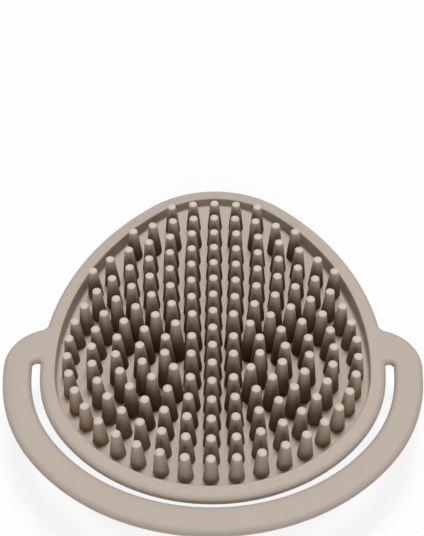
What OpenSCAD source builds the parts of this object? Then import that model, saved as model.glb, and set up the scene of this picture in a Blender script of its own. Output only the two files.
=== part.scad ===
// Hand-held bath brush moulded in soft silicone, lying on its domed back with the bristles up.
// +X is to the right, +Y towards the narrow end, +Z up. The origin is the centre of the flat
// of the back, which is also the middle of the footprint. Millimetres.

/* [Body] */
// Width of the egg-shaped body, without the strap
body_w = 87.8; // [73:0.1:98]
// Length of the egg-shaped body, without the strap
body_l = 104; // [96:0.5:125]
// Depth of the body, from the flat of its back to the top of the rim
body_h = 18; // [17:0.5:24]
// Distance in from the edge at which the domed back has become flat
crown_reach = 26; // [22:0.5:26.5]

/* [Rim] */
// Width of the raised rim round the bristle field
rim_w = 3.95; // [3.2:0.05:4.75]
// Height of the rim band
rim_h = 5; // [4.6:0.1:6]
// Radius of the rim's inner edge
inner_round = 0.35; // [0.2:0.05:1]
// Radius of the soft outer edges of the rim, the ears and the strap
edge_round = 1.45; // [0.5:0.05:1.45]
// Height of the rim above the floor at the two ends of the body
recess = 2.3; // [1.5:0.1:2.6]

/* [Bristle field] */
// How much deeper the hollow floor is in the middle than at the ends
dish = 6; // [3:0.1:7]
// Gap between the rim's inner wall and the bristle pad
pad_margin = 0.4; // [0.3:0.05:0.5]
// Thickness of the pad that the bristles stand on
pad_t = 1.4; // [1.2:0.1:2]
// Distance between rings of bristles, across the body
pitch_x = 6.1; // [5.8:0.05:6.2]
// Distance between rings of bristles, along the body
pitch_y = 5.66; // [4.7:0.01:5.7]
// Distance from the wide end's edge to the centre of the rings
ring_centre = 41.7; // [41.4:0.1:42.2]

/* [Bristles] */
// Height of the middle bristles' tips above the rim
tip_out = 5.7; // [3:0.1:9]
// How much lower the tips would be at the sides of the body than on its centre line
tip_fall = 1.8; // [0:0.1:2.5]
// Radius of a bristle under its domed tip
tip_r = 1.18; // [0.8:0.02:1.24]
// Height of the shallow dome on a bristle's tip
cap_h = 0.45; // [0.3:0.05:0.8]
// Growth of a bristle's radius for each millimetre down from its tip
draft = 0.1; // [0.03:0.005:0.105]
// Smallest gap between the feet of neighbouring bristles
foot_gap = 0.4; // [0.2:0.05:0.45]

/* [Strap] */
// Width of the slot between the body and the strap, at its two ends
slot_w = 2.1; // [1.8:0.1:6]
// Width of the slot at the middle of the strap
slot_mid = 1.3; // [1:0.1:1.8]
// Width of the strap
strap_w = 7.2; // [5.5:0.1:10]
// Thickness of the strap, the ears and the rim's lip
strap_t = 3; // [2.5:0.1:4]
// Corner radius of the ears that carry the strap
ear_r = 11.6; // [9:0.1:12.5]
// Radius of the hollow between an ear and the rim
ear_fillet = 2.2; // [1:0.1:3]

/* [Hidden] */
$fn = 72;
c_soft = [0.73, 0.67, 0.6];
c_dark = [0.62, 0.56, 0.49];
c_tip = [0.86, 0.82, 0.76];

// The egg is a chain of four tangent arcs a side. A heading is the direction of travel round
// the outline, anticlockwise from the middle of the wide end.
h1 = 51.6;
h2 = 83.6;
h3 = 140.3;
function u(h) = [sin(h), -cos(h)];
half_w = body_w / 2;
ra = 0.526 * body_w;
k0 = ra * (1 - cos(h1)) + (cos(h1) - cos(h2)) * (half_w - ra * sin(h1)) / (sin(h2) - sin(h1))
    + (1 + cos(h3)) * half_w / sin(h3);
k1 = (cos(h2) - cos(h3)) - (cos(h1) - cos(h2)) * (1 - sin(h2)) / (sin(h2) - sin(h1))
    - (1 - sin(h3)) * (1 + cos(h3)) / sin(h3);
rc = (body_l - k0) / k1;
rb = (half_w - ra * sin(h1) - rc * (1 - sin(h2))) / (sin(h2) - sin(h1));
rd = (half_w - rc * (1 - sin(h3))) / sin(h3);

y_wide = (slot_mid + strap_w - body_l) / 2;
ca = [0, y_wide + ra];
cb = ca + (ra - rb) * u(h1);
cc = cb + (rb - rc) * u(h2);
cd = cc + (rc - rd) * u(h3);
ring_y = y_wide + ring_centre;
mid_y = y_wide + body_l / 2;

// A soft edge takes at most half of the strap's thickness
soft_r = min(edge_round, 0.49 * strap_t);

// Heights
z_rim = body_h - rim_h;
z_strap = body_h - strap_t;
z_edge = body_h - recess;
z_floor = z_edge - dish;

// The floor is part of a large sphere
floor_r = (pow(body_l / 2 - rim_w, 2) + pow(dish, 2)) / (2 * dish);
function floor_z(p) =
    z_floor + floor_r - sqrt(pow(floor_r, 2) - pow(p[0], 2) - pow(p[1] - mid_y, 2));

// The domed back in section is one arc, from the flat up to the underside of the rim's lip.
// Where the narrow end is too tight for it, it reaches in less far.
lip_t = 60;
lip_d = soft_r * (1 - cos(lip_t));
lip_z = z_strap + soft_r * (1 - sin(lip_t));
crown_r = (pow(crown_reach - lip_d, 2) + pow(lip_z, 2)) / (2 * lip_z);
rim_t = acos(1 - z_rim / crown_r);
narrow = min(1, 0.92 * rd / crown_reach);
function squeeze(h) = 1 - (1 - narrow) * min(1, max(0, (180 - abs(180 - h) - h2) / (h3 - h2)));
function crown_at(s, z) =
    lip_d + (crown_reach - sqrt(pow(crown_r, 2) - pow(crown_r - z, 2)) - lip_d) * squeeze(s[2]);

// The slot ends a little short of the widest line, and the ear's corner starts beside its end.
// The neck is the part of the strap that bends.
slot_end = 87.5;
neck_end = 76;
ear_far = rc + slot_w + strap_w - ear_r;
ear_c = cc + ear_far * u(slot_end);
fillet_n = (pow(rc + ear_fillet, 2) - pow(ear_r + ear_fillet, 2) + pow(ear_far, 2)) / (2 * ear_far);
fillet_t = sqrt(pow(rc + ear_fillet, 2) - pow(fillet_n, 2));
fillet_c = cc + fillet_n * u(slot_end) + fillet_t * u(slot_end + 90);
corner_end = slot_end + atan2(fillet_t, fillet_n - ear_far);
fillet_end = slot_end + atan2(fillet_t, fillet_n);

// Stations round the outline: the centre and radius of an arc, and a heading on it
function run(c, r, from, to, n, last) =
    [for (i = [0:last ? n : n - 1]) [c, r, from + (to - from) * i / n]];
right_side = concat(
    run(ca, ra, 0, h1, 12, false),
    run(cb, rb, h1, h2, 8, false),
    run(cc, rc, h2, h3, 16, false),
    run(cd, rd, h3, 180, 10, true));
last_i = len(right_side) - 1;
function flip(s) = [[-s[0][0], s[0][1]], s[1], 360 - s[2]];
egg = concat(right_side, [for (i = [last_i - 1:-1:1]) flip(right_side[i])]);

// The outline's point at a station, drawn in by d
function at(s, d) = s[0] + (s[1] - d) * u(s[2]);
function lift(p, z) = [p[0], p[1], z];
function egg_outline(d) = [for (s = egg) at(s, d)];

// An ellipse round the ring centre as points
function ring_points(k) =
    [for (i = [0:59]) [k * pitch_x * sin(6 * i), ring_y + k * pitch_y * cos(6 * i)]];

// A solid skin over rings of points, each with the same number of points. Seen from outside
// the first ring, its points run clockwise. A loop joins the last ring to the first.
module skin(rings, loop) {
    n = len(rings[0]);
    m = len(rings);
    sides = [for (j = [0:loop ? m - 1 : m - 2]) for (i = [0:n - 1])
        let (a = j * n + i, b = j * n + (i + 1) % n)
        let (c = ((j + 1) % m) * n + (i + 1) % n, d = ((j + 1) % m) * n + i)
        each [[a, d, c], [a, c, b]]];
    ends = loop ? [] : [[for (i = [0:n - 1]) i], [for (i = [n - 1:-1:0]) (m - 1) * n + i]];
    polyhedron([for (r = rings) each r], concat(sides, ends), convexity = 10);
}

// The space that the bristle pad fills, whose bottom is as curved as the floor
module pad_space() {
    intersection() {
        linear_extrude(body_h + 2)
            polygon(egg_outline(rim_w + pad_margin));
        floor_ball(pad_t);
    }
}

module floor_ball(grow) {
    translate([0, mid_y, z_floor + floor_r])
        rotate([90, 0, 0])
            sphere(floor_r + grow, $fn = 180);
}

module back_shell() {
    edge = rim_w + pad_margin;
    color(c_soft)
        difference() {
            skin(concat(
                [for (i = [0:12])
                    let (z = crown_r * (1 - cos(rim_t * i / 12)))
                    [for (s = egg) lift(at(s, crown_at(s, z)), z)]],
                [[for (s = egg) lift(at(s, rim_w), z_rim)]],
                [for (d = [rim_w, edge + 0.5]) [for (s = egg) lift(at(s, d), floor_z(at(s, d)))]],
                [[for (s = egg) lift(at(s, edge + 2), z_edge)]]), false);
            pad_space();
        }
}

// Points of a soft edge in section: how far in from the edge, and how far down from the top
function soft(r, a) = [r * (1 - cos(a)), r * (1 - sin(a))];
turns = [0, 22.5, 45, 67.5, 90];
under = [0, 20, 40, lip_t];
function rev(list) = [for (i = [len(list) - 1:-1:0]) list[i]];

// The rim in section, as distance in from the outline and height: a lip with a half-round
// edge, and under it the start of the domed back
function rim_section(s) = concat(
    [for (a = [0, 45, 90]) let (e = soft(inner_round, a)) [rim_w - e[0], body_h - e[1]]],
    [for (a = rev(turns)) let (e = soft(soft_r, a)) [e[0], body_h - e[1]]],
    [for (a = under) let (e = soft(soft_r, a)) [e[0], z_strap + e[1]]],
    [for (i = [1:3]) let (z = lip_z + (z_rim - lip_z) * i / 3) [crown_at(s, z), z]],
    [[rim_w, z_rim]]);

module rim_band() {
    color(c_soft)
        skin([for (s = egg) [for (p = rim_section(s)) lift(at(s, p[0]), p[1])]], true);
}

// The strap in section: a flat band with soft edges, from its inner edge outwards
strap_profile = concat(
    [for (a = turns) let (e = soft(soft_r, a)) [e[0], body_h - e[1]]],
    [for (a = rev(turns)) let (e = soft(soft_r, a)) [strap_w - e[0], body_h - e[1]]],
    [for (a = turns) let (e = soft(soft_r, a)) [strap_w - e[0], z_strap + e[1]]],
    [for (a = rev(turns)) let (e = soft(soft_r, a)) [e[0], z_strap + e[1]]]);

// The slot is narrowest at the middle of the strap
function gap(s) = slot_w - (slot_w - slot_mid) * pow(cos(s[2]), 4);

module strap_run(stations) {
    skin([for (s = stations) [for (p = strap_profile) lift(at(s, -gap(s) - p[0]), p[1])]], false);
}

// The ear's outer outline: a point, its outward direction and the heading of the rim beside it
function rim_heading(p) = 90 + asin((p[1] - cc[1]) / rc);
ear_outline = concat(
    [for (i = [0:14])
        let (h = slot_end + (corner_end - slot_end) * i / 14, p = ear_c + ear_r * u(h))
        [p, u(h), i == 0 ? slot_end : rim_heading(p)]],
    [for (i = [1:5])
        let (h = corner_end + (fillet_end + 22 - corner_end) * i / 5, p = fillet_c - ear_fillet * u(h))
        [p, u(h), rim_heading(p)]]);

function ear_section(o) =
    let (s = [cc, rc, o[2]])
    let (r = min(soft_r, 0.4 * norm(o[0] - at(s, 0))))
    concat(
        [for (a = rev(turns)) let (e = soft(r, a)) lift(o[0] - e[0] * o[1], body_h - e[1])],
        [for (a = turns) let (e = soft(r, a)) lift(o[0] - e[0] * o[1], z_strap + e[1])],
        [lift(at(s, crown_at(s, z_strap)), z_strap)],
        [for (a = rev(under)) let (e = soft(soft_r, a)) lift(at(s, e[0]), z_strap + e[1])],
        [for (a = turns) let (e = soft(soft_r, a)) lift(at(s, e[0]), body_h - e[1])]);

module ear() {
    difference() {
        skin([for (o = ear_outline) ear_section(o)], false);
        translate(lift(cc + (rc + slot_w / 2) * u(slot_end), z_strap - 1))
            cylinder(h = strap_t + 2, r = slot_w / 2);
    }
}

module strap_ear_right() {
    color(c_soft)
        ear();
}

module strap_ear_left() {
    color(c_soft)
        mirror([1, 0, 0])
            ear();
}

neck_run = concat(run(cb, rb, neck_end, h2, 3, false), run(cc, rc, h2, slot_end, 2, true));

module strap_neck_right() {
    color(c_dark)
        strap_run(neck_run);
}

module strap_neck_left() {
    color(c_dark)
        mirror([1, 0, 0])
            strap_run(neck_run);
}

half_strap = concat(run(ca, ra, 0, h1, 12, false), run(cb, rb, h1, neck_end, 6, true));

module hand_strap() {
    color(c_soft)
        strap_run(concat([for (i = [len(half_strap) - 1:-1:1]) flip(half_strap[i])], half_strap));
}

// The part of the pad that carries one ring of bristles. Outside the sixth ring the pad is
// split at this height into the lower part, which goes with that ring, and the upper rows.
split_y = ring_y + 18;

module upper_half() {
    translate([-60, split_y])
        square([120, 80]);
}

module ring_zone(k) {
    difference() {
        intersection() {
            polygon(egg_outline(rim_w + pad_margin));
            if (k < 9)
                union() {
                    polygon(ring_points(k + 0.5));
                    if (k == 6)
                        mirror([0, 1, 0])
                            translate([-60, -split_y])
                                square([120, 80]);
                }
            if (k > 6)
                upper_half();
        }
        if (k > 0)
            polygon(ring_points(k - 0.5));
    }
}

module pad_slice(k) {
    difference() {
        intersection() {
            linear_extrude(body_h + 2)
                ring_zone(k);
            floor_ball(pad_t);
        }
        floor_ball(0);
    }
}

// A bristle's root, tip and foot radius, and the room round its foot on the pad
function root_z(p) = floor_z(p) - 0.7;
function tip_z(p) = body_h + tip_out - tip_fall * pow(p[0] / half_w, 2);
function foot(p) =
    min(tip_r + draft * (tip_z(p) - cap_h - root_z(p)), (min(pitch_x, pitch_y) - foot_gap) / 2);
function room(p) = min([for (s = egg) (at(s, rim_w + pad_margin) - p) * u(s[2])]) - foot(p);

// One soft bristle: a drafted cone with a shallow domed tip
module bristle(p) {
    h = tip_z(p) - root_z(p);
    cap_r = (pow(tip_r, 2) + pow(cap_h, 2)) / (2 * cap_h);
    translate(lift(p, root_z(p)))
        rotate_extrude($fn = 32)
            union() {
                polygon([[0, 0], [foot(p), 0], [tip_r, h - cap_h], [0, h - cap_h]]);
                intersection() {
                    translate([0, h - cap_r])
                        circle(cap_r, $fn = 48);
                    translate([0, h - cap_h])
                        square([tip_r, cap_h]);
                }
            }
}

// Ring k has 6k + 2 places, the first ring has 6, and the outermost rows stand a little closer.
// A bristle stands only where its whole foot fits on the pad, so the last rows are short.
function places(k) = k == 0 ? 1 : k == 1 ? 6 : k < 8 ? 6 * k + 2 : 4 * k + 21;
function ring_places(k) = [for (j = [0:places(k) - 1])
    let (a = 360 * j / places(k))
    [k * pitch_x * sin(a), ring_y + k * pitch_y * cos(a)]];

// The sixth ring and the ninth row also carry any bristles that a larger body has room for,
// each on its own side of the split
function on_slice(k, q, p) =
    q < 7 || (abs(p[1] - split_y) > foot(p) && (p[1] > split_y) == (k > 6));

module bristle_group(k) {
    color(c_tip) {
        pad_slice(k);
        for (q = [k:k == 6 || k == 9 ? k + 9 : k])
            for (p = ring_places(q))
                if (room(p) > 0 && on_slice(k, q, p))
                    bristle(p);
    }
}

module bristle_centre() {
    bristle_group(0);
}

module bristle_ring_1() {
    bristle_group(1);
}

module bristle_ring_2() {
    bristle_group(2);
}

module bristle_ring_3() {
    bristle_group(3);
}

module bristle_ring_4() {
    bristle_group(4);
}

module bristle_ring_5() {
    bristle_group(5);
}

module bristle_ring_6() {
    bristle_group(6);
}

module bristle_row_7() {
    bristle_group(7);
}

module bristle_row_8() {
    bristle_group(8);
}

module bristle_row_9() {
    bristle_group(9);
}

back_shell();
rim_band();
strap_ear_left();
strap_ear_right();
strap_neck_left();
strap_neck_right();
hand_strap();
bristle_centre();
bristle_ring_1();
bristle_ring_2();
bristle_ring_3();
bristle_ring_4();
bristle_ring_5();
bristle_ring_6();
bristle_row_7();
bristle_row_8();
bristle_row_9();
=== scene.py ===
import math

import bmesh
import bpy
from bpy.props import FloatProperty, FloatVectorProperty, IntProperty, PointerProperty
from mathutils import Matrix, Vector


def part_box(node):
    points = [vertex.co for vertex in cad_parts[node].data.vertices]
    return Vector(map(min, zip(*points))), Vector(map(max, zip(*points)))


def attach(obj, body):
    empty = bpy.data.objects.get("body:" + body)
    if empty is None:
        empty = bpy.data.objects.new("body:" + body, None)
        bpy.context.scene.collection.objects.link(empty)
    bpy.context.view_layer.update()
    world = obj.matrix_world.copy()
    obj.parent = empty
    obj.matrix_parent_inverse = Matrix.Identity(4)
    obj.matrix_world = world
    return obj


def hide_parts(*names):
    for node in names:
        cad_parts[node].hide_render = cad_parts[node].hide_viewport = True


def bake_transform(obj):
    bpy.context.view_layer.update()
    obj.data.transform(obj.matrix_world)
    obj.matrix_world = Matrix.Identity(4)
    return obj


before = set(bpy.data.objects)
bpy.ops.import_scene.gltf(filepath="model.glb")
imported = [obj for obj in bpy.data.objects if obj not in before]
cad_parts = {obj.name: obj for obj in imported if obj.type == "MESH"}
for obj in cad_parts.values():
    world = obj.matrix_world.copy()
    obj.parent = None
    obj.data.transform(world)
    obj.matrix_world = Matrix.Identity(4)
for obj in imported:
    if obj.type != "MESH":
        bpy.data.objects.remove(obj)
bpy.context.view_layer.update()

bl_info = {
    "name": "Silicone Bath Brush",
    "version": (1, 0, 0),
    "blender": (4, 5, 0),
    "location": "View3D > Sidebar > Bath Brush",
    "description": "Models a moulded silicone bath brush with its bristles and hand strap",
    "category": "Object",
}


# Sizes and colours that a user would change


class BrushBody(bpy.types.PropertyGroup):
    width: FloatProperty(
        name="Width", description="Width of the egg-shaped body, without the strap",
        default=0.0878, min=0.02, subtype="DISTANCE", unit="LENGTH")
    length: FloatProperty(
        name="Length", description="Length of the egg-shaped body, without the strap",
        default=0.104, min=0.02, subtype="DISTANCE", unit="LENGTH")
    height: FloatProperty(
        name="Height", description="Depth of the body, from the flat of its back to the rim's top",
        default=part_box("rim_band")[1].z, min=0.005, subtype="DISTANCE", unit="LENGTH")
    crown_reach: FloatProperty(
        name="Crown Reach", description="Distance in from the edge at which the back is flat",
        default=0.026, min=0.005, subtype="DISTANCE", unit="LENGTH")
    rim_width: FloatProperty(
        name="Rim Width", description="Width of the raised rim round the bristle field",
        default=0.00395, min=0.001, subtype="DISTANCE", unit="LENGTH")
    edge_round: FloatProperty(
        name="Outer Edge Radius",
        description="Radius of the soft outer edges of rim, ears and strap",
        default=0.00145, min=0.0002, subtype="DISTANCE", unit="LENGTH")
    inner_round: FloatProperty(
        name="Inner Edge Radius", description="Radius of the rim's edge above the bristle field",
        default=0.00035, min=0.0001, subtype="DISTANCE", unit="LENGTH")
    recess: FloatProperty(
        name="Recess", description="Height of the rim above the floor at the two ends",
        default=0.0023, min=0.0, subtype="DISTANCE", unit="LENGTH")
    dish: FloatProperty(
        name="Dish", description="How much deeper the floor is in the middle than at the ends",
        default=0.006, min=0.001, subtype="DISTANCE", unit="LENGTH")
    floor_fillet: FloatProperty(
        name="Floor Fillet", description="Radius between the rim's inner wall and the floor",
        default=0.0006, min=0.0001, subtype="DISTANCE", unit="LENGTH")


class BrushStrap(bpy.types.PropertyGroup):
    slot_ends: FloatProperty(
        name="Slot Width at Ends", description="Width of the slot beside the ears",
        default=0.0021, min=0.0005, subtype="DISTANCE", unit="LENGTH")
    slot_middle: FloatProperty(
        name="Slot Width at Middle", description="Width of the slot at the middle of the strap",
        default=0.0013, min=0.0005, subtype="DISTANCE", unit="LENGTH")
    width: FloatProperty(
        name="Width", description="Width of the strap",
        default=0.0072, min=0.002, subtype="DISTANCE", unit="LENGTH")
    underside: FloatProperty(
        name="Underside Height", description="Height of the underside of the strap and the lip",
        default=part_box("hand_strap")[0].z, min=0.0, subtype="DISTANCE", unit="LENGTH")
    ear_radius: FloatProperty(
        name="Ear Radius", description="Corner radius of the ears that carry the strap",
        default=0.0116, min=0.002, subtype="DISTANCE", unit="LENGTH")
    ear_hollow: FloatProperty(
        name="Ear Hollow", description="Radius of the hollow between an ear and the rim",
        default=0.0022, min=0.0005, subtype="DISTANCE", unit="LENGTH")


class BrushBristles(bpy.types.PropertyGroup):
    pitch_across: FloatProperty(
        name="Pitch Across", description="Distance between rings of bristles, across the body",
        default=0.0061, min=0.002, subtype="DISTANCE", unit="LENGTH")
    pitch_along: FloatProperty(
        name="Pitch Along", description="Distance between rings of bristles, along the body",
        default=0.00566, min=0.002, subtype="DISTANCE", unit="LENGTH")
    ring_centre: FloatProperty(
        name="Ring Centre", description="Distance from the wide end's edge to the rings' centre",
        default=0.0417, min=0.0, subtype="DISTANCE", unit="LENGTH")
    tip_height: FloatProperty(
        name="Tip Height", description="Height of the bristle tips on the centre line",
        default=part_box("bristle_centre")[1].z, min=0.0, subtype="DISTANCE", unit="LENGTH")
    tip_fall: FloatProperty(
        name="Tip Fall", description="How much lower the tips would be at the sides of the body",
        default=0.0018, min=0.0, subtype="DISTANCE", unit="LENGTH")
    tip_radius: FloatProperty(
        name="Tip Radius", description="Radius of a bristle under its domed tip",
        default=0.00118, min=0.0002, subtype="DISTANCE", unit="LENGTH")
    cap_height: FloatProperty(
        name="Cap Height", description="Height of the shallow dome on a bristle's tip",
        default=0.00045, min=0.0, subtype="DISTANCE", unit="LENGTH")
    draft: FloatProperty(
        name="Draft", description="Growth of a bristle's radius for each unit down from its tip",
        default=0.1, min=0.0)
    sides: IntProperty(
        name="Sides", description="Number of faces round a bristle",
        default=14, min=6)


class BrushFinish(bpy.types.PropertyGroup):
    silicone: FloatVectorProperty(
        name="Silicone", description="Colour of the moulded silicone",
        default=(0.503, 0.424, 0.362), subtype="COLOR", min=0.0, max=1.0)
    # Painted light: these bristle colours paint shade that darkens towards the roots, and a
    # painted highlight on the domed tips
    bristle_root: FloatVectorProperty(
        name="Bristle Root", description="Colour of the bristles where they leave the floor",
        default=(0.086, 0.043, 0.016), subtype="COLOR", min=0.0, max=1.0)
    bristle_side: FloatVectorProperty(
        name="Bristle Side", description="Colour of the bristles half-way up",
        default=(0.235, 0.157, 0.101), subtype="COLOR", min=0.0, max=1.0)
    bristle_tip: FloatVectorProperty(
        name="Bristle Tip", description="Colour of the bristles' domed tips",
        default=(0.715, 0.622, 0.53), subtype="COLOR", min=0.0, max=1.0)
    roughness: FloatProperty(
        name="Roughness", description="Mean roughness of the silicone's matt surface",
        default=0.56, subtype="FACTOR", min=0.0, max=1.0)
    grain: FloatProperty(
        name="Grain Size", description="Size of the moulded grain",
        default=0.00022, min=0.00001, subtype="DISTANCE", unit="LENGTH")


class BrushStudio(bpy.types.PropertyGroup):
    lens: FloatProperty(
        name="Lens", description="Focal length of the camera",
        default=76.45, unit="CAMERA")
    ambient: FloatProperty(
        name="Ambient", description="Strength of the light from all round",
        default=0.04, min=0.0)
    overhead: FloatProperty(
        name="Overhead", description="Power of the softbox above and behind the brush",
        default=10.1, unit="POWER")
    front: FloatProperty(
        name="Front", description="Power of the low softbox in front",
        default=34.0, unit="POWER")


SETTINGS = {
    "brush_body": BrushBody,
    "brush_strap": BrushStrap,
    "brush_bristles": BrushBristles,
    "brush_finish": BrushFinish,
    "brush_studio": BrushStudio,
}


# The shape of the brush


def heading(degrees):
    """Straight out of the outline, at the place where the outline travels at this angle."""
    turn = math.radians(degrees)
    return Vector((math.sin(turn), -math.cos(turn)))


def steps(first, last, count):
    """Evenly spread values, both ends among them."""
    return [first + (last - first) * i / count for i in range(count + 1)]


def chain(*runs):
    """The steps of several runs end to end. Each run starts where the one before it ends."""
    values = []
    for run in runs:
        values = values[:-1] + steps(*run)
    return values


def arc_points(centre, radius, headings):
    """Points round a centre. A negative radius gives the side that faces the other way."""
    return [centre + radius * heading(h) for h in headings]


def quarter_round(radius, count):
    """Pairs of how far in from an edge and how far down from its top, from wall to top."""
    turns = [math.radians(90 * i / count) for i in range(count + 1)]
    return [(radius * (1 - math.cos(t)), radius * (1 - math.sin(t))) for t in turns]


def lifted(points, z):
    """Flat points, all at one height."""
    return [Vector((p.x, p.y, z)) for p in points]


class BrushShape:
    """Every curve of the brush, worked out from its sizes.

    A place on the outline is given by its heading, in degrees: 0 is the middle of the wide
    end, 90 the right-hand side, 180 the narrow end, and the left-hand side goes on to 360.
    """

    # Headings where the outline's arcs meet, where a neck ends and where the slot ends
    BREAKS = (51.6, 83.6, 140.3)
    NECK_END = 76.0
    SLOT_END = 87.5

    # First heading, last heading and number of steps of each arc
    RUNS = (
        (0, BREAKS[0], 34),
        (BREAKS[0], BREAKS[1], 22),
        (BREAKS[1], BREAKS[2], 44),
        (BREAKS[2], 180, 24),
    )

    # The wide end's radius as a share of the width, the place on the lip's round where the
    # dome starts, in degrees, and how late the slot narrows on the way to its middle
    WIDE_END = 0.526
    LIP_TURN = 60.0
    SLOT_POWER = 4

    # How many places there would be right round each ring, and how many of them a short row
    # keeps on each side of its middle
    RING_PLACES = (1, 6, 14, 20, 26, 32, 38, 44, 53, 57)
    SHORT_ROWS = {7: 6, 8: 4, 9: 2}

    def __init__(self, scene):
        self.body = scene.brush_body
        self.strap = scene.brush_strap
        self.bristles = scene.brush_bristles
        body, strap = self.body, self.strap
        self.wide_y = (strap.slot_middle + strap.width - body.length) / 2
        self.middle_y = self.wide_y + body.length / 2
        self.arcs = self.outline_arcs()
        self.floor_low = body.height - body.recess - body.dish
        reach = body.length / 2 - body.rim_width
        self.floor_radius = (reach ** 2 + body.dish ** 2) / (2 * body.dish)
        lip = math.radians(self.LIP_TURN)
        lip_in = body.edge_round * (1 - math.cos(lip))
        lip_z = strap.underside + body.edge_round * (1 - math.sin(lip))
        self.crown_radius = ((body.crown_reach - lip_in) ** 2 + lip_z ** 2) / (2 * lip_z)

    def outline_arcs(self):
        """The centres and radii of four tangent arcs that give the body's width and length."""
        h1, h2, h3 = (math.radians(h) for h in self.BREAKS)
        half = self.body.width / 2
        wide = self.WIDE_END * self.body.width
        spread = math.sin(h2) - math.sin(h1)
        side = (half - wide * math.sin(h1)) / spread
        # The length is a fixed part and a share of the flank's radius
        fixed = wide * (1 - math.cos(h1)) + (math.cos(h1) - math.cos(h2)) * side
        fixed += (1 + math.cos(h3)) * half / math.sin(h3)
        share = math.cos(h2) - math.cos(h3)
        share -= (math.cos(h1) - math.cos(h2)) * (1 - math.sin(h2)) / spread
        share -= (1 - math.sin(h3)) * (1 + math.cos(h3)) / math.sin(h3)
        flank = (self.body.length - fixed) / share
        corner = side - flank * (1 - math.sin(h2)) / spread
        tip = (half - flank * (1 - math.sin(h3))) / math.sin(h3)
        arcs = [(Vector((0.0, self.wide_y + wide)), wide)]
        for turn, radius in zip(self.BREAKS, (corner, flank, tip)):
            last, last_radius = arcs[-1]
            arcs.append((last + (last_radius - radius) * heading(turn), radius))
        return arcs

    def arc(self, turn):
        """The arc that a heading of the right-hand side is on."""
        for limit, arc in zip(self.BREAKS, self.arcs):
            if turn <= limit:
                return arc
        return self.arcs[-1]

    def edge(self, turn, inset):
        """The outline's point at a heading, drawn in by inset."""
        mirrored = turn > 180
        turn = 360 - turn if mirrored else turn
        centre, radius = self.arc(turn)
        point = centre + (radius - inset) * heading(turn)
        return Vector((-point.x, point.y)) if mirrored else point

    def outline(self, inset):
        """Points right round the outline, drawn in by inset and evenly spread on each arc."""
        right = chain(*self.RUNS)
        left = [360 - h for h in reversed(right[1:-1])]
        return [self.edge(h, inset) for h in right + left]

    def loop(self, inset, z):
        """The outline at one height, drawn in by inset."""
        return lifted(self.outline(inset), z)

    def floor(self, x, y):
        """The height of the bristle field's floor."""
        reach = x * x + (y - self.middle_y) ** 2
        return self.floor_low + self.floor_radius - math.sqrt(self.floor_radius ** 2 - reach)

    def on_floor(self, points, above=0.0):
        """Flat points, each at its place on the floor or at a distance above it."""
        return [Vector((p.x, p.y, self.floor(p.x, p.y) + above)) for p in points]

    def crown_inset(self, z):
        """How far in from the outline the domed back is at a height."""
        radius = self.crown_radius
        return self.body.crown_reach - math.sqrt(radius ** 2 - (radius - z) ** 2)

    def gap(self, turn):
        """The width of the slot at a heading."""
        strap = self.strap
        narrowing = math.cos(math.radians(turn)) ** self.SLOT_POWER
        return strap.slot_ends - (strap.slot_ends - strap.slot_middle) * narrowing

    def tip(self, x):
        """The height of a bristle's tip, which is less towards the sides."""
        sizes = self.bristles
        return sizes.tip_height - sizes.tip_fall * (2 * x / self.body.width) ** 2

    def ring_places(self, ring):
        """Where the bristles of a ring stand. A short row keeps the places near the middle."""
        sizes = self.bristles
        centre_y = self.wide_y + sizes.ring_centre
        count = self.RING_PLACES[ring]
        side = self.SHORT_ROWS.get(ring)
        numbers = range(count) if side is None else range(-side, side + 1)
        places = []
        for number in numbers:
            turn = 2 * math.pi * number / count
            x = ring * sizes.pitch_across * math.sin(turn)
            y = centre_y + ring * sizes.pitch_along * math.cos(turn)
            places.append((x, y))
        return places

    def plate_outline(self, inset):
        """The outline of rim and ears, drawn in by inset except along the strap's seams."""
        strap, end = self.strap, self.SLOT_END
        flank_centre, flank = self.arcs[2]
        outer = flank + strap.slot_ends + strap.width
        inner = flank + strap.slot_ends + inset
        slot = flank_centre + (flank + strap.slot_ends / 2) * heading(end)
        # The hollow beyond the ear touches both the ear's round corner and the flank
        far = outer - strap.ear_radius
        reach = flank + strap.ear_hollow
        apart = strap.ear_radius + strap.ear_hollow
        along = (reach ** 2 - apart ** 2 + far ** 2) / (2 * far)
        up = math.sqrt(reach ** 2 - along ** 2)
        ear = flank_centre + far * heading(end)
        hollow = flank_centre + along * heading(end) + up * heading(end + 90)
        corner_end = end + math.degrees(math.atan2(up, along - far))
        hollow_end = end + math.degrees(math.atan2(up, along))
        # From the middle of the wide end: to the slot's end, round it, along the seam, round
        # the ear, through the hollow, and on to the narrow end
        before = chain(self.RUNS[0], self.RUNS[1], (self.BREAKS[1], end, 4))[:-1]
        beyond = chain((hollow_end, self.BREAKS[2], 30), self.RUNS[3])[1:]
        seam = steps(inner, outer - inset, count=4)[1:-1]
        side = [self.edge(h, inset) for h in before]
        side += arc_points(slot, strap.slot_ends / 2 + inset, steps(end + 180, end, count=16))
        side += [flank_centre + radius * heading(end) for radius in seam]
        ear_turns = steps(end, corner_end, count=32)[:-1]
        hollow_turns = steps(corner_end, hollow_end, count=12)
        side += arc_points(ear, strap.ear_radius - inset, ear_turns)
        side += arc_points(hollow, -(strap.ear_hollow + inset), hollow_turns)
        side += [self.edge(h, inset) for h in beyond]
        return side + [Vector((-p.x, p.y)) for p in reversed(side[1:-1])]


# Ways of modelling that more than one piece uses


def begin():
    """Nothing is selected, and no object is in edit mode."""
    if bpy.context.object and bpy.context.object.mode != "OBJECT":
        bpy.ops.object.mode_set(mode="OBJECT")
    bpy.ops.object.select_all(action="DESELECT")


def shape_selected(piece, points):
    """Each selected vertex goes to the point that has its number round the loop."""
    mesh = bmesh.from_edit_mesh(piece.data)
    number = mesh.verts.layers.int["place"]
    for vertex in mesh.verts:
        if vertex.select:
            vertex.co = points[vertex[number]]
    bmesh.update_edit_mesh(piece.data)


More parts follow.
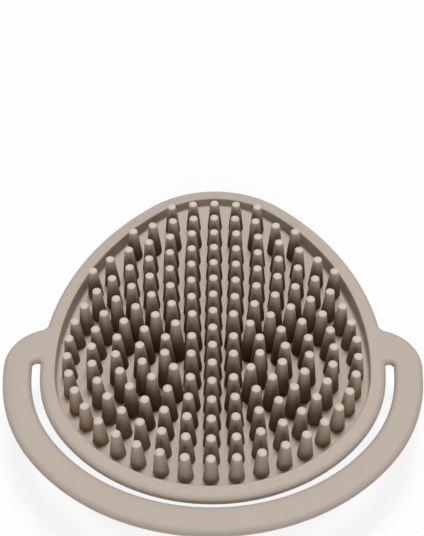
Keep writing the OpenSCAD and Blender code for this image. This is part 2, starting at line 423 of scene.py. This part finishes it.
def loft(name, loops, solid=True):
    """A circle is set on the first loop, then extruded from loop to loop."""
    begin()
    fill = "NGON" if solid else "NOTHING"
    bpy.ops.mesh.primitive_circle_add(vertices=len(loops[0]), radius=0.01, fill_type=fill)
    piece = bpy.context.object
    piece.name = piece.data.name = name
    place = piece.data.attributes.new("place", "INT", "POINT")
    for vertex in piece.data.vertices:
        place.data[vertex.index].value = vertex.index
    bpy.ops.object.mode_set(mode="EDIT")
    bpy.ops.mesh.select_all(action="SELECT")
    shape_selected(piece, loops[0])
    for points in loops[1:]:
        bpy.ops.mesh.extrude_region_move()
        shape_selected(piece, points)
    bpy.ops.mesh.select_all(action="SELECT")
    bpy.ops.mesh.normals_make_consistent(inside=False)
    bpy.ops.object.mode_set(mode="OBJECT")
    piece.data.attributes.remove(piece.data.attributes["place"])
    return piece


def join(name, pieces):
    """The pieces become one, with this name."""
    begin()
    for piece in pieces:
        piece.select_set(True)
    bpy.context.view_layer.objects.active = pieces[0]
    if len(pieces) > 1:
        bpy.ops.object.join()
    pieces[0].name = pieces[0].data.name = name
    return pieces[0]


def smooth(piece, degrees):
    """Shading is smooth, except across edges that turn by more than this."""
    begin()
    piece.select_set(True)
    bpy.context.view_layer.objects.active = piece
    bpy.ops.object.shade_smooth_by_angle(angle=math.radians(degrees))


def dress(piece, material, body, slot, *nodes):
    """The piece gets its material, stands for its nodes and, if one is named, rides a body."""
    piece.data.materials.clear()
    piece.data.materials.append(material)
    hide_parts(*nodes)
    if body:
        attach(piece, body)


# Materials


# Which sockets of a Mix node take its two values, and which gives the result
MIX_SOCKETS = {"FLOAT": (2, 3, 0), "RGBA": (6, 7, 2)}


def link(tree, source, target):
    tree.links.new(source, target)


def add_node(tree, kind, x, y, **inputs):
    """A node at a place in the tree, with the values of some inputs given by name."""
    node = tree.nodes.new(kind)
    node.location = (x, y)
    for name, value in inputs.items():
        node.inputs[name.replace("_", " ")].default_value = value
    return node


def add_math(tree, operation, x, y, *values):
    """The output of a Math node on these values, each a number or another node's output."""
    node = add_node(tree, "ShaderNodeMath", x, y)
    node.operation = operation
    for socket, value in zip(node.inputs, values):
        if isinstance(value, bpy.types.NodeSocket):
            link(tree, value, socket)
        else:
            socket.default_value = value
    return node.outputs[0]


def add_mix(tree, kind, x, y, factor, at_zero, at_one):
    """The output of a Mix node that goes from one number or colour to another."""
    node = add_node(tree, "ShaderNodeMix", x, y)
    node.data_type = kind
    first, second, result = MIX_SOCKETS[kind]
    node.inputs[first].default_value = at_zero
    node.inputs[second].default_value = at_one
    link(tree, factor, node.inputs[0])
    return node.outputs[result]


def silicone_surface():
    """Moulded silicone: a faint cloudiness, a fine grain and a slightly uneven polish."""
    name = "Silicone Surface"
    if name in bpy.data.node_groups:
        return bpy.data.node_groups[name]
    grain_share, polish_spread = 0.35, 0.12
    group = bpy.data.node_groups.new(name, "ShaderNodeTree")
    for label, kind, value in (
            ("Vector", "Vector", (0, 0, 0)),
            ("Color", "Color", (0.5, 0.5, 0.5, 1)),
            ("Cloudiness", "Float", 0.05),
            ("Roughness", "Float", 0.55),
            ("Grain", "Float", 4500.0)):
        socket = group.interface.new_socket(
            label, in_out="INPUT", socket_type="NodeSocket" + kind)
        socket.default_value = value
    for label, kind in (("Color", "Color"), ("Roughness", "Float"), ("Height", "Float")):
        group.interface.new_socket(label, in_out="OUTPUT", socket_type="NodeSocket" + kind)
    inlet = add_node(group, "NodeGroupInput", -900, 0)
    outlet = add_node(group, "NodeGroupOutput", 700, 0)
    cloud = add_node(
        group, "ShaderNodeTexNoise", -650, 250, Scale=90.0, Detail=3.0, Roughness=0.55)
    grain = add_node(group, "ShaderNodeTexNoise", -650, -50, Detail=2.0, Roughness=0.6)
    link(group, inlet.outputs["Vector"], cloud.inputs["Vector"])
    link(group, inlet.outputs["Vector"], grain.inputs["Vector"])
    link(group, inlet.outputs["Grain"], grain.inputs["Scale"])
    centred = add_math(group, "SUBTRACT", -450, 250, cloud.outputs["Fac"], 0.5)
    speck = add_math(group, "SUBTRACT", -450, 80, grain.outputs["Fac"], 0.5)
    mottle = add_math(group, "MULTIPLY_ADD", -280, 80, speck, grain_share, centred)
    amount = add_math(
        group, "MULTIPLY_ADD", -110, 120, mottle, inlet.outputs["Cloudiness"], 1.0)
    tone = add_node(group, "ShaderNodeVectorMath", 120, 200)
    tone.operation = "SCALE"
    link(group, inlet.outputs["Color"], tone.inputs[0])
    link(group, amount, tone.inputs["Scale"])
    polish = add_math(
        group, "MULTIPLY_ADD", 120, 0, centred, polish_spread, inlet.outputs["Roughness"])
    link(group, tone.outputs[0], outlet.inputs["Color"])
    link(group, polish, outlet.inputs["Roughness"])
    link(group, grain.outputs["Fac"], outlet.inputs["Height"])
    return group


def silicone_material(name, finish, gloss=0.35, sheen=0.12):
    """The surface group in the silicone's colour, and the shader that it feeds."""
    material = bpy.data.materials.new(name)
    material.use_nodes = True
    tree = material.node_tree
    shader = tree.nodes["Principled BSDF"]
    shader.inputs["Specular IOR Level"].default_value = gloss
    shader.inputs["Sheen Weight"].default_value = sheen
    shader.inputs["Sheen Roughness"].default_value = 0.5
    place = add_node(tree, "ShaderNodeTexCoord", -900, 0)
    surface = add_node(tree, "ShaderNodeGroup", -500, 0)
    surface.name = "Surface"
    surface.node_tree = silicone_surface()
    surface.inputs["Color"].default_value = (*finish.silicone, 1.0)
    surface.inputs["Cloudiness"].default_value = 0.06
    surface.inputs["Roughness"].default_value = finish.roughness
    surface.inputs["Grain"].default_value = 1.0 / finish.grain
    bump = add_node(tree, "ShaderNodeBump", -250, -200, Strength=0.12, Distance=0.00006)
    link(tree, place.outputs["Object"], surface.inputs["Vector"])
    link(tree, surface.outputs["Color"], shader.inputs["Base Color"])
    link(tree, surface.outputs["Roughness"], shader.inputs["Roughness"])
    link(tree, surface.outputs["Height"], bump.inputs["Height"])
    link(tree, bump.outputs["Normal"], shader.inputs["Normal"])
    return material


def bristle_material(finish):
    """Silicone with painted shade that deepens towards each bristle's root, and a painted
    highlight on its tip.
    """
    name = "Bristle Silicone"
    if name in bpy.data.materials:
        return bpy.data.materials[name]
    material = silicone_material(name, finish, gloss=0.12, sheen=0.0)
    tree = material.node_tree
    painted_light = add_node(tree, "ShaderNodeAttribute", -950, 300)
    painted_light.attribute_name = "painted_light"
    ramp = add_node(tree, "ShaderNodeValToRGB", -750, 300)
    # Painted shade from the root to half-way up, plain silicone near the top, and a painted
    # highlight on the dome
    stops = ramp.color_ramp.elements
    stops[0].position, stops[0].color = 0.0, (*finish.bristle_root, 1.0)
    stops[1].position, stops[1].color = 0.5, (*finish.bristle_side, 1.0)
    for position, colour in (
            (0.93, finish.silicone), (0.96, finish.silicone), (0.97, finish.bristle_tip)):
        stops.new(position).color = (*colour, 1.0)
    link(tree, painted_light.outputs["Fac"], ramp.inputs["Fac"])
    link(tree, ramp.outputs["Color"], tree.nodes["Surface"].inputs["Color"])
    return material


def shared_material(name, finish):
    """The plain silicone of this name, made the first time that a piece asks for it."""
    if name in bpy.data.materials:
        return bpy.data.materials[name]
    return silicone_material(name, finish)


# The pieces


class BATHBRUSH_OT_back(bpy.types.Operator):
    """Model the domed back with the hollow floor of the bristle field"""

    bl_idname = "bathbrush.back"
    bl_label = "Domed Back"

    # How the back runs on inside the rim, where it doesn't show: past the lip's underside,
    # to a level under the rim's top, and from there to just behind the rim's inner wall
    PAST_UNDERSIDE = 0.0004
    BELOW_TOP = 0.0012
    HIDDEN_INSET = 0.0022
    BEHIND_WALL = 0.00002

    # Where the floor's rings lie: insets from the outline, then shares of the last ring
    RING_INSETS = (0.0055, 0.0075, 0.01, 0.013, 0.0165, 0.02)
    RING_SHARES = (0.8, 0.6, 0.4, 0.2, 0.05)

    def execute(self, context):
        shape = BrushShape(context.scene)
        hidden = shape.body.height - self.BELOW_TOP
        wall = shape.body.rim_width - self.BEHIND_WALL
        loops = self.dome(shape)
        loops += [shape.loop(self.HIDDEN_INSET, hidden), shape.loop(wall, hidden)]
        loops += self.hollow(shape, wall)
        piece = loft("domed_back", loops)
        smooth(piece, degrees=40)
        dress(piece, shared_material("Body Silicone", context.scene.brush_finish),
              "brush", "body", "back_shell")
        return {"FINISHED"}

    def dome(self, shape):
        """Loops from the flat of the back to where it goes into the lip."""
        top = shape.strap.underside + self.PAST_UNDERSIDE
        loops = []
        for turn in steps(0, math.acos(1 - top / shape.crown_radius), count=26):
            z = shape.crown_radius * (1 - math.cos(turn))
            loops.append(shape.loop(shape.crown_inset(z), z))
        return loops

    def hollow(self, shape, wall):
        """Loops down the fillet at the foot of the wall, and in across the floor."""
        loops = []
        for inward, above in quarter_round(shape.body.floor_fillet, count=4):
            loops.append(shape.on_floor(shape.outline(wall + inward), above))
        for inset in self.RING_INSETS:
            loops.append(shape.on_floor(shape.outline(inset)))
        last = shape.outline(self.RING_INSETS[-1])
        middle = Vector((0.0, shape.middle_y))
        for share in self.RING_SHARES:
            loops.append(shape.on_floor([middle + (p - middle) * share for p in last]))
        return loops


class BATHBRUSH_OT_rim(bpy.types.Operator):
    """Model the rim's lip and the two ears as one plate with soft edges"""

    bl_idname = "bathbrush.rim"
    bl_label = "Rim and Ears"

    # A narrow flat beside each rounded edge, and how exactly a vertex is on a level
    FLAT = 0.0001
    EXACT = 1e-6

    def execute(self, context):
        shape = BrushShape(context.scene)
        body = shape.body
        low, high = shape.strap.underside, body.height
        soft = quarter_round(body.edge_round, count=8)
        outer = [(body.edge_round + self.FLAT, low)]
        outer += [(inward, low + up) for inward, up in reversed(soft)]
        outer += [(inward, high - down) for inward, down in soft]
        outer += [(body.edge_round + self.FLAT, high)]
        wall = body.rim_width
        crisp = quarter_round(body.inner_round, count=3)
        inner = [(wall, low)] + [(wall - inward, high - down) for inward, down in crisp]
        inner += [(wall - body.inner_round - self.FLAT, high)]
        outside = loft("rim_outside", [
            lifted(shape.plate_outline(inset), z) for inset, z in outer], solid=False)
        inside = loft("rim_inside", [shape.loop(inset, z) for inset, z in inner], solid=False)
        piece = join("rim_and_ears", [outside, inside])
        self.close(piece, (low, high))
        smooth(piece, degrees=40)
        dress(piece, shared_material("Body Silicone", context.scene.brush_finish),
              "brush", "body", "rim_band", "strap_ear_left", "strap_ear_right")
        return {"FINISHED"}

    def close(self, piece, levels):
        """Fill between the outer and the inner wall, on the underside and on the top."""
        bpy.ops.object.mode_set(mode="EDIT")
        for level in levels:
            bpy.ops.mesh.select_all(action="DESELECT")
            bpy.ops.mesh.select_mode(type="EDGE")
            mesh = bmesh.from_edit_mesh(piece.data)
            for edge in mesh.edges:
                flat = all(abs(v.co.z - level) < self.EXACT for v in edge.verts)
                edge.select_set(flat and edge.is_boundary)
            bmesh.update_edit_mesh(piece.data)
            bpy.ops.mesh.fill(use_beauty=True)
        bpy.ops.mesh.select_all(action="SELECT")
        bpy.ops.mesh.normals_make_consistent(inside=False)
        bpy.ops.object.mode_set(mode="OBJECT")


class BATHBRUSH_OT_strap(bpy.types.Operator):
    """Model the hand strap and the two necks that it bends in"""

    bl_idname = "bathbrush.strap"
    bl_label = "Hand Strap"

    def execute(self, context):
        shape = BrushShape(context.scene)
        strap = shape.strap
        low, high, width = strap.underside, shape.body.height, strap.width
        soft = quarter_round(shape.body.edge_round, count=6)
        section = [(inward, high - down) for inward, down in soft]
        section += [(width - inward, high - down) for inward, down in reversed(soft)]
        section += [(width - inward, low + up) for inward, up in soft]
        section += [(inward, low + up) for inward, up in reversed(soft)]
        first, second, _ = shape.BREAKS
        right = chain(
            shape.RUNS[0],
            (first, shape.NECK_END, 17),
            (shape.NECK_END, second, 14),
            (second, shape.SLOT_END, 14))
        loops = []
        for turn in right[::-1] + [360 - h for h in right[1:]]:
            gap = shape.gap(turn)
            loops.append([
                shape.edge(turn, -gap - across).to_3d() + Vector((0, 0, z))
                for across, z in section])
        piece = loft("strap_loop", loops)
        smooth(piece, degrees=40)
        dress(piece, shared_material("Strap Silicone", context.scene.brush_finish),
              None, "strap", "hand_strap", "strap_neck_left", "strap_neck_right")
        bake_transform(piece)
        return {"FINISHED"}


class BATHBRUSH_OT_bristles(bpy.types.Operator):
    """Model one bristle and set copies of it in rings on the floor"""

    bl_idname = "bathbrush.bristles"
    bl_label = "Bristles"

    # The pattern's length, the depth under its tip that tells its root from its side, and
    # how far a root is sunk in the floor
    LENGTH = 0.01
    ROOT_BELOW = 0.005
    SINK = 0.0005

    # The soft edge where a tip's dome starts, down and in, and the dome's rings above it:
    # shares of the tip's radius, and of the dome's height from the top
    EDGE_DOWN = 0.00008
    EDGE_IN = 0.00005
    DOME = ((0.72, 0.48), (0.3, 0.08))

    # The painted light that colours a bristle: 0, the darkest painted shade, at a root among
    # others, and these at a root in open light, at the top of a side and on the dome's painted
    # highlight
    PAINTED_LIGHT_OPEN_ROOT = 0.6
    PAINTED_LIGHT_SIDE = 0.95
    PAINTED_LIGHT_DOME = 1.0

    # Painted front light lightens the roots near the outermost whole ring: as shares of that
    # ring's distance from the centre, where this starts, over how much it grows, and the least
    # share that is used
    OUTER_RING = 6
    OPEN_FROM = 0.7
    OPEN_OVER = 0.3
    LEAST_REACH = 0.01

    def execute(self, context):
        shape = BrushShape(context.scene)
        pattern = self.bristle(shape)
        material = bristle_material(context.scene.brush_finish)
        for ring in range(len(shape.RING_PLACES)):
            kind = "row" if ring in shape.SHORT_ROWS else "ring"
            node = f"bristle_{kind}_{ring}" if ring else "bristle_centre"
            copies = [self.stand(shape, pattern, x, y) for x, y in shape.ring_places(ring)]
            piece = join(node.replace("bristle", "bristles"), copies)
            smooth(piece, degrees=30)
            dress(piece, material, "brush", "bristles", node)
        bpy.data.objects.remove(pattern)
        return {"FINISHED"}

    def bristle(self, shape):
        """A bristle with a domed tip, whose root ring is set later, one by one."""
        sizes = shape.bristles
        wide, high, cap = sizes.tip_radius, sizes.tip_height, sizes.cap_height
        rings = [(wide, high - self.LENGTH), (wide, high - cap - self.EDGE_DOWN)]
        rings += [(wide - self.EDGE_IN, high - cap)]
        rings += [(wide * across, high - cap * down) for across, down in self.DOME]
        corners = [heading(360 * i / sizes.sides) for i in range(sizes.sides)]
        piece = loft("bristle", [
            [Vector((c.x * radius, c.y * radius, z)) for c in corners] for radius, z in rings])
        # Painted light: 0 at the root for painted shade, a lighter level up the side, and the
        # painted highlight on the dome
        painted_light = piece.data.attributes.new("painted_light", "FLOAT", "POINT")
        for vertex in piece.data.vertices:
            if vertex.co.z < high - self.ROOT_BELOW:
                value = 0.0
            elif vertex.co.z < high - cap - self.EDGE_DOWN / 2:
                value = self.PAINTED_LIGHT_SIDE
            else:
                value = self.PAINTED_LIGHT_DOME
            painted_light.data[vertex.index].value = value
        return piece

    def painted_front_light(self, shape, x, y):
        """Painted front light: 0 for a bristle among others, up to 1 for one at the wide end's
        edge.
        """
        sizes = shape.bristles
        across = x / sizes.pitch_across / self.OUTER_RING
        along = (y - shape.wide_y - sizes.ring_centre) / sizes.pitch_along / self.OUTER_RING
        reach = max(math.hypot(across, along), self.LEAST_REACH)
        outer = min(1.0, max(0.0, reach - self.OPEN_FROM) / self.OPEN_OVER)
        return outer * (1 - along / reach) / 2

    def stand(self, shape, pattern, x, y):
        """A copy with its own mesh, moved to its place, its root sunk in the floor."""
        sizes = shape.bristles
        copy = pattern.copy()
        copy.data = pattern.data.copy()
        bpy.context.scene.collection.objects.link(copy)
        fall = shape.tip(x) - sizes.tip_height
        root_z = shape.floor(x, y) - self.SINK
        # Painted light: a root in the open gets a lighter painted shade than one among others
        root_painted_light = self.PAINTED_LIGHT_OPEN_ROOT * self.painted_front_light(shape, x, y)
        painted_light = copy.data.attributes["painted_light"].data
        for vertex in copy.data.vertices:
            at = vertex.co + Vector((0.0, 0.0, fall))
            if vertex.co.z < sizes.tip_height - self.ROOT_BELOW:
                at.z = root_z
                radius = sizes.tip_radius + sizes.draft * (shape.tip(x) - sizes.cap_height - at.z)
                at.xy = Vector((at.x, at.y)).normalized() * radius
                painted_light[vertex.index].value = root_painted_light
            vertex.co = at + Vector((x, y, 0.0))
        return copy


class BATHBRUSH_OT_studio(bpy.types.Operator):
    """Set up the pale floor, the soft light and the camera"""

    bl_idname = "bathbrush.studio"
    bl_label = "Studio"

    WHITE = (1, 1, 1, 1)

    # The floor's tone for the light that it sends to the brush, and how much of what the
    # camera sees of it is plain white. The rest is the lit floor with the brush's shadow
    FLOOR_TONE = (0.75, 0.75, 0.75, 1)
    FLOOR_WHITE = 0.88

    def execute(self, context):
        scene, studio = context.scene, context.scene.brush_studio
        self.floor()
        self.world(scene, studio.ambient)
        self.softbox("Overhead", studio.overhead, size=0.3, place=Vector((0.04, 0.3, 1.1)))
        self.softbox("Front", studio.front, size=1.6, place=Vector((0.1, -2.8, 1.02)))
        self.camera(scene, studio.lens)
        scene.view_settings.view_transform = "Standard"
        return {"FINISHED"}

    @staticmethod
    def seen(tree):
        """1 for a ray from the camera, or one that metal or glass sends on."""
        path = add_node(tree, "ShaderNodeLightPath", -900, 0)
        direct = add_math(tree, "MAXIMUM", -700, 0,
                          path.outputs["Is Camera Ray"], path.outputs["Is Glossy Ray"])
        return add_math(tree, "MAXIMUM", -500, 0, direct, path.outputs["Is Transmission Ray"])

    def floor(self):
        begin()
        bpy.ops.mesh.primitive_plane_add(size=6.0, location=(0, 0, 0))
        floor = bpy.context.object
        floor.name = floor.data.name = "Floor"
        material = bpy.data.materials.new("Floor Paper")
        material.use_nodes = True
        tree = material.node_tree
        shader = tree.nodes["Principled BSDF"]
        shader.inputs["Roughness"].default_value = 1.0
        shader.inputs["Specular IOR Level"].default_value = 0.0
        seen = self.seen(tree)
        tone = add_mix(
            tree, "RGBA", -250, 0, seen, at_zero=self.FLOOR_TONE, at_one=self.WHITE)
        link(tree, tone, shader.inputs["Base Color"])
        share = add_math(tree, "MULTIPLY", -250, -300, seen, self.FLOOR_WHITE)
        glow = add_node(tree, "ShaderNodeEmission", 100, -250, Color=self.WHITE, Strength=1.0)
        blend = add_node(tree, "ShaderNodeMixShader", 350, 0)
        link(tree, share, blend.inputs[0])
        link(tree, shader.outputs[0], blend.inputs[1])
        link(tree, glow.outputs[0], blend.inputs[2])
        link(tree, blend.outputs[0], tree.nodes["Material Output"].inputs["Surface"])
        floor.data.materials.append(material)

    def world(self, scene, ambient):
        """White where it is seen, and a faint light from all round where it isn't."""
        world = bpy.data.worlds.new("Studio World")
        scene.world = world
        world.use_nodes = True
        tree = world.node_tree
        sky = tree.nodes["Background"]
        sky.inputs["Color"].default_value = self.WHITE
        strength = add_mix(
            tree, "FLOAT", -250, 0, self.seen(tree), at_zero=ambient, at_one=1.0)
        link(tree, strength, sky.inputs["Strength"])

    @staticmethod
    def softbox(name, power, size, place):
        """A square area light that points at the middle of the brush."""
        begin()
        bpy.ops.object.light_add(type="AREA", location=place)
        light = bpy.context.object
        light.name = name
        light.data.shape = "SQUARE"
        light.data.size = size
        light.data.energy = power
        light.rotation_euler = place.to_track_quat("Z", "Y").to_euler()

    @staticmethod
    def camera(scene, lens):
        """The place, aim and slight roll that the bristle tips in the photograph fit."""
        place = Vector((0.00416, -0.18675, 0.2451))
        aim = Vector((-0.00041, 0.01982, 0.0235))
        roll = -0.0143
        forward = (aim - place).normalized()
        across = forward.cross(Vector((0, 0, 1))).normalized()
        above = across.cross(forward)
        turned = across * math.cos(roll) + above * math.sin(roll)
        upright = above * math.cos(roll) - across * math.sin(roll)
        camera = bpy.data.objects.new("Camera", bpy.data.cameras.new("Camera"))
        scene.collection.objects.link(camera)
        camera.data.sensor_fit = "AUTO"
        camera.data.sensor_width = 36.0
        camera.data.lens = lens
        camera.data.clip_start = 0.01
        camera.matrix_world = Matrix((
            (turned.x, upright.x, -forward.x, place.x),
            (turned.y, upright.y, -forward.y, place.y),
            (turned.z, upright.z, -forward.z, place.z),
            (0, 0, 0, 1)))
        scene.camera = camera


STEPS = (
    BATHBRUSH_OT_back,
    BATHBRUSH_OT_rim,
    BATHBRUSH_OT_strap,
    BATHBRUSH_OT_bristles,
    BATHBRUSH_OT_studio,
)


class BATHBRUSH_PT_panel(bpy.types.Panel):
    """The sizes, the finish and the steps of the brush"""

    bl_label = "Bath Brush"
    bl_idname = "BATHBRUSH_PT_panel"
    bl_space_type = "VIEW_3D"
    bl_region_type = "UI"
    bl_category = "Bath Brush"

    def draw(self, context):
        for name, group in SETTINGS.items():
            box = self.layout.box()
            box.label(text=group.__name__.replace("Brush", ""))
            for prop in group.__annotations__:
                box.prop(getattr(context.scene, name), prop)
        for step in STEPS:
            self.layout.operator(step.bl_idname)


def register():
    for group in SETTINGS.values():
        bpy.utils.register_class(group)
    for name, group in SETTINGS.items():
        setattr(bpy.types.Scene, name, PointerProperty(type=group))
    for step in STEPS:
        bpy.utils.register_class(step)
    bpy.utils.register_class(BATHBRUSH_PT_panel)


def unregister():
    bpy.utils.unregister_class(BATHBRUSH_PT_panel)
    for step in reversed(STEPS):
        bpy.utils.unregister_class(step)
    for name in SETTINGS:
        delattr(bpy.types.Scene, name)
    for group in reversed(list(SETTINGS.values())):
        bpy.utils.unregister_class(group)


def main():
    register()
    bpy.ops.bathbrush.back()
    bpy.ops.bathbrush.rim()
    bpy.ops.bathbrush.strap()
    bpy.ops.bathbrush.bristles()
    bpy.ops.bathbrush.studio()


if __name__ == "__main__":
    main()
